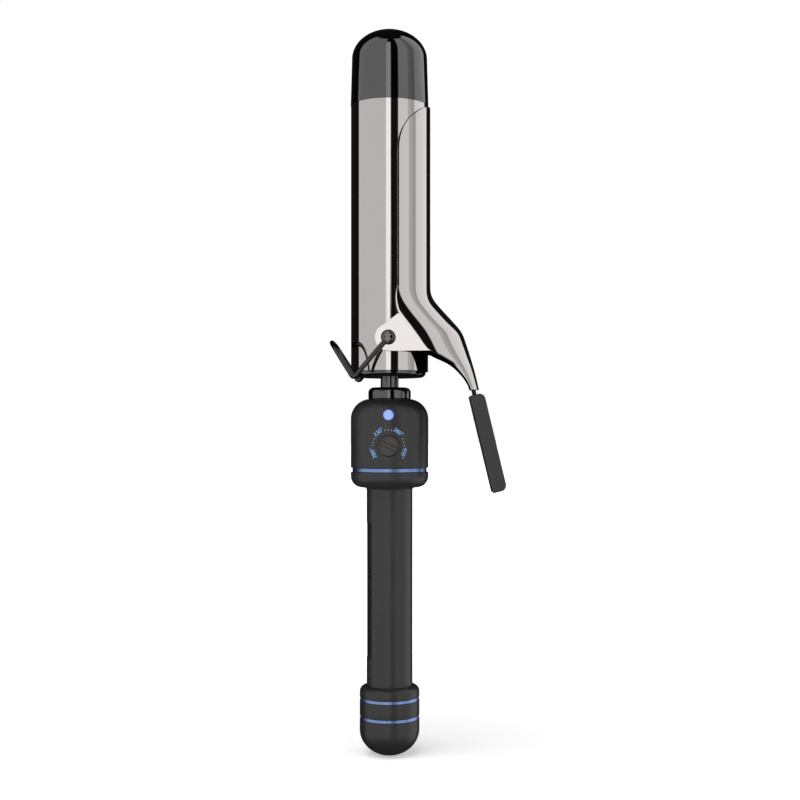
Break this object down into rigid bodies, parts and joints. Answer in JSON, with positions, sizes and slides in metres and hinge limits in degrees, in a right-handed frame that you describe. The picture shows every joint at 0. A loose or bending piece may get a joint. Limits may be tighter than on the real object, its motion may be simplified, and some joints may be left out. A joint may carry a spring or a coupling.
{
  "type": "curling iron",
  "caption": "Electric curling iron with a polished barrel, a sprung clamp with a thumb lever, a wire stand, a heat dial and a swivelling cord inlet in a domed handle.",
  "frame": {"origin": "on the handle's axis at its lower end, in the mouth of the cord inlet, where the handle is held upright", "axes": "+Z along the handle and barrel towards the cool tip; -Y out of the heat dial and the pilot lamp; +X towards the clamp and its thumb lever"},
  "size_m": [0.0871, 0.0484, 0.3613],
  "materials": {
    "soft_black": "soft-touch moulded plastic, matte",
    "label_black": "blank satin label film",
    "ring_blue": "metallic periwinkle blue paint",
    "barrel_metal": "polished warm grey titanium coating",
    "black_chrome": "black nickel plating",
    "tip_gloss": "gloss black heat-resistant plastic",
    "thumb_plastic": "dark grey moulded plastic",
    "dial_plastic": "dark grey moulded plastic, satin",
    "lamp_lens": "clear blue-lit light guide",
    "lamp": "clear epoxy lamp body",
    "steel": "zinc-plated steel",
    "spring_steel": "spring steel",
    "core_aluminium": "extruded aluminium",
    "heater_ceramic": "white alumina",
    "mica": "pressed mica board",
    "film": "amber polyimide film",
    "board_green": "solder-masked glass-fibre board",
    "pot_blue": "moulded phenolic body",
    "component_black": "epoxy component body",
    "capacitor_film": "dipped film capacitor",
    "carrier_plastic": "heat-resistant cream plastic",
    "wire_brown": "silicone-rubber insulated lead",
    "wire_white": "glass-fibre sleeved lead",
    "brass": "bright brass",
    "bush_black": "acetal"
  },
  "bodies": {
    "handle_and_barrel": {"end_sleeve": "soft_black", "end_ring_lower": "ring_blue", "end_ring_upper": "ring_blue", "contact_carrier": "carrier_plastic", "contact_fingers": "brass", "mains_leads": "wire_brown", "grip": "soft_black", "label_panel": "label_black", "head_trim_ring": "ring_blue", "control_housing": "soft_black", "control_board": "board_green", "board_screws": "steel", "potentiometer": "pot_blue", "triac": "component_black", "capacitor": "capacitor_film", "terminal_block": "carrier_plastic", "led": "lamp", "led_lens": "lamp_lens", "collar": "black_chrome", "lock_nut": "steel", "neck_tube": "black_chrome", "neck_nut": "steel", "base_plate": "black_chrome", "base_insulator": "mica", "barrel_tube": "barrel_metal", "pivot_bracket": "steel", "pivot_screws": "black_chrome", "heater_core_front": "core_aluminium", "heater_core_rear": "core_aluminium", "ceramic_heater": "heater_ceramic", "insulation_films": "film", "thermistor": "component_black", "thermal_fuse": "steel", "heater_leads": "wire_white", "tip_insulator": "mica", "tip_cap": "tip_gloss"},
    "clamp": {"clamp_blade": "barrel_metal", "clamp_ears": "barrel_metal", "lever_tongue": "black_chrome", "thumb_grip": "thumb_plastic", "thumb_screws": "black_chrome", "clamp_spring": "spring_steel", "spring_rivet": "steel"},
    "stand": {"stand_wire": "black_chrome"},
    "dial": {"dial_knob": "dial_plastic", "dial_shaft": "steel"},
    "swivel": {"swivel_bush": "bush_black", "swivel_retainer": "spring_steel", "slip_rings": "brass"}
  },
  "joints": [
    {"name": "clamp_hinge", "type": "hinge", "parent": "handle_and_barrel", "child": "clamp", "pos_m": [0, 0, 0.2068], "axis": [0, 1, 0], "range_deg": [0, 22], "stiffness_Nm_per_rad": 0.9, "springref_deg": -20.05, "deforming": ["clamp_spring"]},
    {"name": "stand_hinge", "type": "hinge", "parent": "handle_and_barrel", "child": "stand", "pos_m": [0, 0, 0.2068], "axis": [0, 1, 0], "range_deg": [-55, 44]},
    {"name": "dial_turn", "type": "hinge", "parent": "handle_and_barrel", "child": "dial", "pos_m": [0, -0.019, 0.154], "axis": [0, 1, 0], "range_deg": [-80, 180]},
    {"name": "cord_swivel", "type": "hinge", "parent": "handle_and_barrel", "child": "swivel", "pos_m": [0, 0, 0], "axis": [0, 0, 1], "continuous": true}
  ]
}
